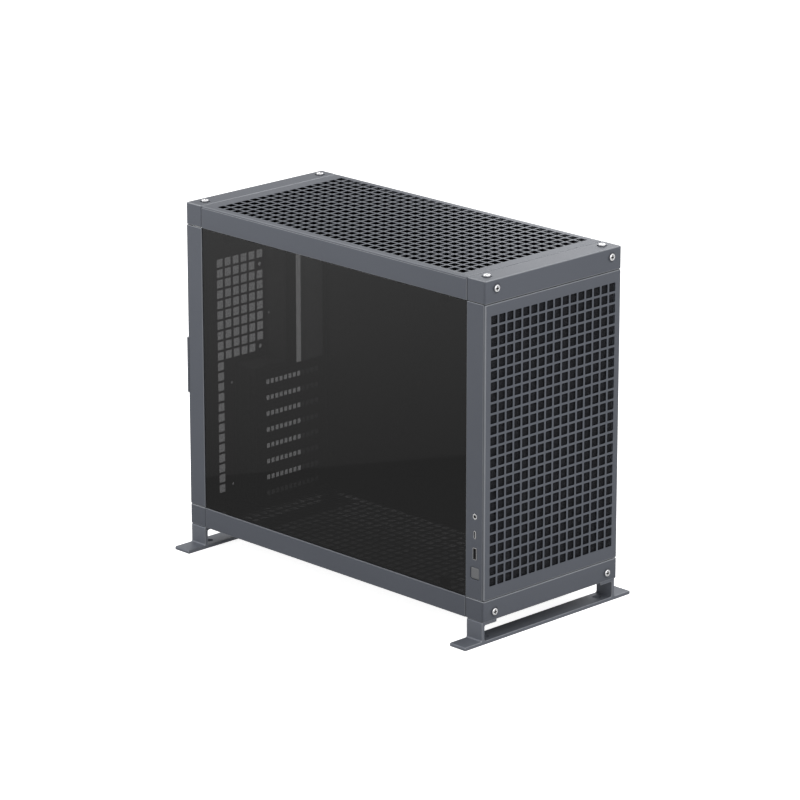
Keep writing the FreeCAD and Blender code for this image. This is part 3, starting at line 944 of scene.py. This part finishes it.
def channel(node, along, holes=(), web_end=None):
    """Channel: a web on the outer side, the rectangle seen from the side carried through the sheet, and
    two flanges towards the inside, which are blocks."""
    low, high = place(node)
    left_side = low[0] < 0
    wide = 3 - along
    web_high = high.copy()
    if web_end:
        web_high[1] = web_end
    outer, web_inner = (low[0], low[0] + channel_wall) if left_side else (high[0], high[0] - channel_wall)
    rims = (fold_rim, fine_rim) if left_side else (fine_rim, fold_rim)
    shell = Shell()
    outline = rounded(between(low[1:], web_high[1:]), sheet_corner)
    slab(shell, 0, (outer, web_inner), outline, holes, rim=rims, hole_rim=rims)
    for start in (low[wide], web_high[wide] - channel_wall):
        flange_low, flange_high = low.copy(), high.copy()
        flange_low[wide], flange_high[wide] = start, start + channel_wall
        if left_side:
            flange_low[0] = web_inner - channel_wall / 2
        else:
            flange_high[0] = web_inner + channel_wall / 2
        flange_low[along] += flange_setback
        flange_high[along] -= flange_setback
        block(shell, flange_low, flange_high, fine_rim, axis=wide)
    return shell


for rail in ("left_top_rail", "right_top_rail", "left_bottom_rail", "right_bottom_rail"):
    channel(rail, 1).finish(rail + "_folded", metal, [rail])

button_low, button_high = place("power_button")
jack_low, jack_high = place("audio_jack")
button_middle = middle_of("power_button")[1:]
jack_middle = middle_of("audio_jack")[1:]
port_line = jack_middle[0]
jack_radius = (jack_high[2] - jack_low[2]) / 2


def port_mouth(node):
    """Middle and size of a rectangular port's mouth. Its middle is on the line of ports."""
    low, high = place(node)
    size = np.array([2 * (port_line - low[1]), high[2] - low[2]])
    return np.array([port_line, middle_of(node)[2]]), size


usb_a_middle, usb_a_size = port_mouth("usb_a_port")
usb_c_middle, usb_c_size = port_mouth("usb_c_port")
port_holes = [rounded(rectangle(button_middle, button_size + 2 * button_gap), button_corner + button_gap),
              rounded(rectangle(usb_a_middle, usb_a_size + 2 * port_clearance), usb_a_corner),
              rounded(rectangle(usb_c_middle, usb_c_size + 2 * port_clearance), usb_c_size[0] / 2,
                      usb_c_steps),
              circle(jack_middle, jack_radius + port_clearance)]
for pillar in ("front_left_pillar", "front_right_pillar", "rear_right_pillar"):
    holes = port_holes if pillar == "front_left_pillar" else ()
    channel(pillar, 2, holes).finish(pillar + "_folded", metal, [pillar])

rear_face = place("rear_right_pillar")[1][1]
lip_low, lip_high = place("rear_left_pillar")
lip_middle = middle_of("rear_left_pillar")[2]
lip_pillar = channel("rear_left_pillar", 2, web_end=rear_face)
block(lip_pillar, (lip_low[0], rear_face - channel_wall, lip_middle - lip_height / 2),
      (lip_low[0] + channel_wall, lip_high[1], lip_middle + lip_height / 2), fold_rim, axis=0)
lip_pillar.finish("rear_left_pillar_folded", metal, ["rear_left_pillar"])

# Perforated plates


def punched_plate(name, node, axis, rows, faces_up, worn=1.0):
    """Slab with a field of square cells. Its edges are folded back, so it is thin behind the cells."""
    low, high = place(node)
    flat = across(axis)
    outer, inner_face = (high[axis], low[axis]) if faces_up else (low[axis], high[axis])
    outline = rounded(between(low[flat], high[flat]), plate_corner)
    field = rectangle((low + high)[flat] / 2, (high - low)[flat] - 2 * cell_field_margin)
    thinned = outer + math.copysign(cell_sheet, inner_face - outer)
    rims = (fine_rim, plate_rim) if faces_up else (plate_rim, fine_rim)
    holes = square_cells((column, row) for column in columns for row in rows)
    sheet_piece(name, metal, node, axis, outline, holes, rim=rims, hole_rim=small_rim,
                pocket=(field, inner_face, thinned), worn=worn)


columns = pitched(0, cell_columns, cell_pitch)
field_rows = pitched(0, long_rows, cell_pitch)
grille_rows = pitched(middle_of("front_grille")[2], front_rows, cell_pitch) + front_rows_rise
punched_plate("front_grille_punched", "front_grille", 1, grille_rows, False)
punched_plate("top_grille_punched", "top_grille", 2, field_rows, True, top_wear_and_highlight)

floor_low, floor_high = place("bottom_panel")
sheet_piece("floor_punched", inner, "bottom_panel", 2,
            rounded(between(floor_low[:2], floor_high[:2]), sheet_corner),
            square_cells((column, row) for column in columns for row in field_rows))
# Dust filter sheet under the floor panel. It also stands in for the case's shadow on the floor: it hides the
# glowing floor under the case from the floor cells
shell = Shell()
filter_half = (floor_high - floor_low)[:2] / 2 - floor_filter_inset
filter_top = floor_low[2] - floor_filter_gap
block(shell, (*-filter_half, filter_top - floor_filter_sheet), (*filter_half, filter_top), thin_rim)
floor_filter = shell.finish("floor_filter_mesh", floor_dust_and_shade_cloth)
tuple(2 * filter_half * MM)

# Side panels
glass_low, glass_high = place("glass_panel")
shell = Shell()
block(shell, glass_low, glass_high, glass_rim, axis=0)
shell.finish("glass_pane", glass, ["glass_panel"])

panel_low, panel_high = place("right_panel")
panel_size = panel_high - panel_low
panel_middle = middle_of("right_panel")
panel_hollow = rectangle((0, 0), panel_size[1:] - 2 * panel_wall)[::-1]
shell = Shell()
block(shell, panel_low, panel_high, panel_rim, axis=0,
      pits=[((panel_low[0], *panel_middle[1:]), panel_hollow, panel_size[0] - panel_wall, 0, True)])
shell.finish("right_panel_folded", metal, ["right_panel"])


def foot(node):
    """Bent plate: its profile, with arcs at the bends, carried along the depth of the foot."""
    low, high = place(node)
    post = high[0] - foot_overhang
    post_inner, under = post - foot_plate, high[2] - foot_plate
    flange_end = post - foot_flange
    half = [(high[0], 0), (high[0], foot_plate), (post, foot_plate), (post, high[2]), (flange_end, high[2]),
            (flange_end, under), (post_inner, under), (post_inner, foot_plate)]
    radii = [foot_tip, foot_tip, foot_bend, foot_bend, foot_tip, foot_tip, foot_bend, foot_bend]
    outline = rounded(half + [(-x, z) for x, z in reversed(half)], radii + radii[::-1])
    ring = circle((0, 0), foot_access_radius)[::-1]
    pits = [end for x in screw_columns
            for end in through((x, middle_of(node)[1], foot_plate), ring, 2, -foot_plate, sheet_rim)]
    sheet_piece(node + "_bent", foot_lit_metal, node, 1, outline, rim=fold_rim, pits=pits, steps=arc_steps)


foot("front_foot")
foot("rear_foot")

# Button and ports
shell = Shell()
button_face = button_low[0]
cap = rounded(rectangle(button_middle, button_size), button_corner)
slab(shell, 0, (button_face, button_face + button_depth), cap, rim=(fold_rim, fine_rim))
collar = rounded(between(button_low[1:], button_high[1:]), button_corner)
collar_low = button_face + collar_setback
slab(shell, 0, (collar_low, collar_low + collar_thickness), collar)
stem = rounded(rectangle(button_middle, (stem_size, stem_size)), stem_corner)
slab(shell, 0, (button_face + stem_setback, button_high[0]), stem)
shell.finish("button_cap", satin, ["power_button"], body="button")


def port(node, middle, size, corner, steps, lining, tongue_finish):
    """Slab with a pit that leaves a thin shell, a block as its base on the board, a lining if it has one,
    and a block as its tongue."""
    low, high = place(node)
    depth = high[0] - low[0]
    hollow = rounded(rectangle((0, 0), size - 2 * shell_wall), corner - shell_wall, steps)[::-1]
    shell = Shell()
    slab(shell, 0, (low[0], high[0]), rounded(rectangle(middle, size), corner, steps), rim=port_rim,
         pits=[((low[0], *middle), hollow, depth - shell_wall, mouth_rim, True)])
    block(shell, (low[0] + depth / 2, port_line + size[0] / 2 - thin_rim, low[2] + port_base_inset),
          (high[0], high[1], high[2] - port_base_inset), thin_rim, axis=0)
    shell.finish(node + "_shell", plating, [node])
    back = high[0] - shell_wall
    if lining:
        sleeve = Shell()
        outer = rounded(rectangle(middle, size - 2 * shell_wall), corner - shell_wall, steps)
        slab(sleeve, 0, (low[0] + port_lip, back), outer, [shifted(outer, lining)], rim=lining_rim,
             hole_rim=lining_rim)
        slab(sleeve, 0, (high[0] - 2 * shell_wall, back), shifted(outer, lining / 2), rim=lining_rim)
        sleeve.finish(node + "_lining", plastic)
    half = np.array([size[0] / tongue_share, size[1] / 2 - 2 * shell_wall])
    tongue = Shell()
    block(tongue, (low[0] + tongue_setback, *(middle - half)), (high[0] - shell_wall / 2, *(middle + half)),
          small_rim, axis=0)
    tongue.finish(node + "_tongue", tongue_finish)


port("usb_a_port", usb_a_middle, usb_a_size, usb_a_corner, arc_steps, lining_wall, plastic)
port("usb_c_port", usb_c_middle, usb_c_size, usb_c_size[0] / 2 - usb_c_flat, usb_c_steps, None, plating)

jack_step = jack_low[0] + jack_ring
sheet_piece("jack_ring", plating, "audio_jack", 0, circle(jack_middle, jack_radius),
            [circle(jack_middle, jack_bore_radius)], (jack_low[0], jack_step), hole_rim=sheet_rim)
shell = Shell()
jack_bore = circle((0, 0), jack_bore_radius)[::-1]
jack_bore_depth = jack_high[0] - jack_low[0] - jack_ring - shell_wall
slab(shell, 0, (jack_step, jack_high[0]), circle(jack_middle, jack_radius - jack_barrel_play), rim=thin_rim,
     pits=[((jack_step, *jack_middle), jack_bore, jack_bore_depth, 0, True)])
shell.finish("jack_barrel", plastic)

# Rear sheets and the well
rear_low, rear_high = place("rear_panel")
well_low, well_high = place("rear_well")
inlet_low, inlet_high = place("mains_inlet")
rail_low, rail_high = place("left_top_rail")
slot_covers = sorted(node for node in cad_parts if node.startswith("slot_cover_"))
slot_middles = [middle_of(cover)[2] for cover in slot_covers]


def well_loop(spread, flange=0.0):
    """Stepped outline of the well's inside, grown by a spread, with a flange on the right.
    The spread adds to the radius of the corners, and half of it comes off at the inward step."""
    x = (well_low[0] + rear_sheet - spread, well_high[0] - rear_sheet + spread + flange)
    z = (well_low[2] + rear_sheet - spread, well_high[2] - rear_sheet + spread)
    step = (step_x - spread, step_z + spread)
    corners = [(x[0], z[0]), (x[1], z[0]), (x[1], z[1]), (step[0], z[1]), step, (x[0], step[1])]
    return rounded(corners, fold_radius + spread * np.array([1, 1, 1, 1, -0.5, 1]))


def rear_vents():
    """Square vents above the slots, one column that runs on down, and round screw holes."""
    vent_x = first_vent[0] + np.arange(vent_columns) * cell_pitch
    vent_z = first_vent[1] - np.arange(vent_tail_rows) * cell_pitch
    fan_screws = [(vent_x[-1], vent_z[row]) for row in fan_screw_rows]
    places = [(x, z) for x in vent_x for z in vent_z[:vent_rows] if (x, z) not in fan_screws]
    places += [(vent_x[0], z) for z in vent_z[vent_rows:]]
    holes = square_cells(places)
    holes += [circle(middle, fan_screw_radius, hole_sides) for middle in fan_screws]
    holes += [circle((bracket_screw_x, z), bracket_screw_radius, small_hole_sides)
              for z in bracket_screw_levels]
    return holes


shoulder = rail_low[2] - seam
narrow = abs(rail_high[0]) - seam
rear_half = [(rear_high[0], rear_low[2]), (rear_high[0], shoulder), (narrow, shoulder),
             (narrow, rear_high[2])]
rear_outline = rounded(rear_half + [(-x, z) for x, z in reversed(rear_half)], sheet_corner)
inlet_middle = middle_of("mains_inlet")[[0, 2]]
rear_holes = rear_vents() + [well_loop(0), rounded(rectangle(inlet_middle, inlet_body), inlet_body_corner)]
sheet_piece("rear_panel_punched", inner, "rear_panel", 1, rear_outline, rear_holes, rim=fine_rim)

peep = circle((0, 0), peep_radius, small_hole_sides)[::-1]
peep_start = (step_x - rear_sheet, well_high[1] - peep_inset, peep_level)
peep_pits = through(peep_start, peep, 0, rear_sheet, thin_rim)
sheet_piece("well_folds", well_lit_coat, "rear_well", 1, well_loop(rear_sheet), [well_loop(0)], rim=fine_rim,
            pits=peep_pits)
shell = Shell()
block(shell, (well_high[0] - rear_sheet, well_high[1], well_low[2] + rear_sheet),
      (well_high[0], well_high[1] + well_lip, well_high[2] - rear_sheet), fine_rim, axis=0)
shell.finish("well_lip", well_lit_coat)

wall_flange = place("slot_wall")[1][0] - well_high[0]
wall_holes = [rounded(between(socket_low, socket_high), sheet_corner)]
wall_holes += [rounded(rectangle((slot_middle_x, z), slot_size), sheet_corner) for z in slot_middles]
sheet_piece("slot_wall_punched", inner, "slot_wall", 1, well_loop(rear_sheet, wall_flange), wall_holes,
            rim=fine_rim)


def slot_cover(node):
    """Folded blank: its bent profile carried up its height, with a row of vents through the face."""
    low, high = place(node)
    inside = low[:2] + cover_sheet
    corners = [(low[0], low[1]), (high[0], low[1]), (high[0], inside[1]), inside, (inside[0], high[1]),
               (low[0], high[1])]
    vent = rounded(rectangle((0, 0), cover_cell_size), cover_cell_corner, 1)[::-1]
    pits = [end for x in pitched(cover_cells_middle, cover_cells, cover_cell_pitch)
            for end in through((x, low[1], middle_of(node)[2]), vent, 1, cover_sheet, mouth_rim)]
    sheet_piece(node + "_folded", inner, node, 2, rounded(corners, cover_corners, rim_steps),
                levels=(low[2] + cover_play, high[2] - cover_play), rim=small_rim, pits=pits, steps=1)


for cover in slot_covers:
    slot_cover(cover)


def hexagon(width):
    """Circle with six sides, whose radius is half the width across its flats / cos 30°."""
    return circle((0, 0), width / 2 / math.cos(math.pi / 6), 6)


def hex_screws(name, node, axis, places, seat, finish):
    """Heads that point down their axis: slabs over a hexagon and a washer face, with a cross recess."""
    half, reach = hex_cross_half, hex_cross_reach
    cross = np.array([(-half, -reach), (half, -reach), (half, -half), (reach, -half), (reach, half),
                      (half, half), (half, reach), (-half, reach), (-half, half), (-reach, half),
                      (-reach, -half), (-half, -half)])[::-1]
    shell = Shell()
    for middle in places:
        top = np.insert(np.array(middle), axis, seat - hex_height)
        head = rounded(hexagon(hex_width) + np.array(middle), hex_corner, rim_steps)
        slab(shell, axis, (seat - hex_foot, seat - hex_height), head,
             pits=[(tuple(top), cross, hex_cross_depth, 0, True)], worn=0.0)
        washer = circle(middle, hex_width / 2 * washer_spread, washer_sides)
        slab(shell, axis, (seat, seat - washer_height), washer, rim=small_rim, worn=0.0)
    shell.finish(name, finish, [node])


tab_places = [(middle_of("slot_screws")[1], z) for z in slot_middles]
hex_screws("slot_hex_screws", "slot_screws", 0, tab_places, place("slot_screws")[1][0], black_steel)
foot_places = [(x, middle_of(end + "_foot")[1]) for x in screw_columns for end in ("front", "rear")]
hex_screws("foot_hex_screws", "foot_screws", 2, foot_places, place("foot_screws")[1][2], steel)

# Tray, posts and fan rails
tray_low, tray_high = place("motherboard_tray")
cable_slots = [rounded(rectangle((tray_low[1] + cable_slot_middle, z), cable_slot), cable_slot_corner)
               for z in shares(tray_low[2], tray_high[2], cable_slot_count)]
sheet_piece("tray_sheet", inner, "motherboard_tray", 0,
            rounded(between(tray_low[1:], tray_high[1:]), tray_corner), cable_slots, rim=fine_rim)

post_low, post_high = place("standoffs")
post_outline = hexagon(post_width)
post_reach = post_outline.max(0)
post_bore = circle((0, 0), post_bore_radius, hole_sides)[::-1]
shell = Shell()
for y in post_low[1] + post_reach[0] + post_columns:
    for z in post_low[2] + post_reach[1] + post_rows:
        slab(shell, 0, (post_low[0], post_high[0]), post_outline + np.array([y, z]), rim=post_rim,
             pits=[((post_low[0], y, z), post_bore, post_bore_depth, sheet_rim, True)])
shell.finish("brass_posts", brass, ["standoffs"])

for rail in ("left_fan_rail", "right_fan_rail"):
    low, high = place(rail)
    slots = [rounded(rectangle(((low[0] + high[0]) / 2, z), fan_slot), fan_slot_corner)
             for z in shares(low[2], high[2], fan_slot_count)]
    outline = rounded(between(low[[0, 2]], high[[0, 2]]), fan_rail_corner)
    sheet_piece(rail + "_slotted", inner, rail, 1, outline, slots, rim=fine_rim)

# Mains inlet: a flange, a deep mouth with two cut corners and three pins
flange_face = inlet_high[1] - inlet_flange
body_end = flange_face + inlet_lap
shell = Shell()
flange = rounded(between(inlet_low[[0, 2]], inlet_high[[0, 2]]), inlet_flange_corner)
slab(shell, 1, (flange_face, inlet_high[1]), flange, [inlet_mouth + inlet_middle],
     rim=(thin_rim, inlet_end_rim), hole_rim=(0, inlet_mouth_rim))
body = rounded(rectangle(inlet_middle, inlet_body - inlet_body_play), inlet_body_corner)
slab(shell, 1, (inlet_low[1], body_end), body, rim=(inlet_end_rim, 0),
     pits=[((inlet_middle[0], body_end, inlet_middle[1]), inlet_mouth[::-1], inlet_mouth_depth, 0, True)])
shell.finish("inlet_body", plastic, ["mains_inlet"])
shell = Shell()
for pin in pin_places:
    pin_low, pin_high = inlet_middle + pin - pin_half, inlet_middle + pin + pin_half
    block(shell, (pin_low[0], inlet_low[1] + pin_start, pin_low[1]),
          (pin_high[0], inlet_low[1] + pin_end, pin_high[1]), pin_rim, axis=1)
shell.finish("inlet_pins", plating)

# Studio


def softbox(name, at, size, power, aim):
    """Rectangular area lamp that looks at a point."""
    lamp = bpy.data.lights.new(name, "AREA")
    lamp.shape = "RECTANGLE"
    lamp.size, lamp.size_y = size
    lamp.energy = power
    holder = in_scene(name, lamp)
    holder.location = at
    holder.rotation_euler = (Vector(aim) - Vector(at)).to_track_quat("-Z", "Y").to_euler()


softbox("high softbox", at=(1.2, -0.8, 1.65), size=(0.7, 0.7), power=4, aim=(0, -0.1, 0.3))
softbox("back softbox", at=(-0.6, 1.2, 1.6), size=(0.7, 0.7), power=5, aim=(0, 0, 0.3))
softbox("left softbox", at=(-1.4, 1.6, 0.6), size=(1.0, 0.8), power=5, aim=(0, 0.1, 0.2))
softbox("front softbox", at=(0.4, -2.0, 0.3), size=(1.8, 0.5), power=4, aim=(0, 0, 0.0))
softbox("rim softbox", at=(0.75, 0.3, 0.78), size=(0.5, 0.5), power=1.5, aim=(0, -0.1, 0.43))
softbox("key softbox", at=(-0.9, -1.3, 1.6), size=(1.0, 1.0), power=7, aim=(0, 0, 0.2))

world = bpy.data.worlds.new("studio")
bpy.context.scene.world = world
sky = Finish(world)
fill = sky.add("ShaderNodeBackground", {}, {"Color": (fill_tone, fill_tone, fill_tone, 1)})
white = sky.add("ShaderNodeBackground", {}, {"Color": (1, 1, 1, 1)})
shown = sky.add("ShaderNodeMixShader", {}, [sky.seen_by("Camera", "Glossy", "Transmission"), fill, white])
sky.add("ShaderNodeOutputWorld", {}, {"Surface": shown})

floor_corners = np.insert(rectangle((0, 0), (2 * floor_reach, 2 * floor_reach)), 2, 0, axis=1)
floor_mesh = bpy.data.meshes.new("studio_floor")
floor_mesh.from_pydata(floor_corners, [], [(0, 1, 2, 3)])
floor_mesh.materials.append(pale_floor())
studio_floor = in_scene("studio_floor", floor_mesh)

# Camera
camera_data = bpy.data.cameras.new("camera")
camera_data.lens = camera_lens
camera_data.sensor_width = camera_sensor
camera_data.clip_end = camera_reach
camera = in_scene("camera", camera_data)
camera.location = camera_place
camera_tilt = math.pi / 2 - math.radians(camera_elevation)
camera.rotation_euler = Euler((camera_tilt, 0, math.radians(camera_azimuth)))
bpy.context.scene.camera = camera
bpy.context.scene.view_settings.view_transform = "Standard"
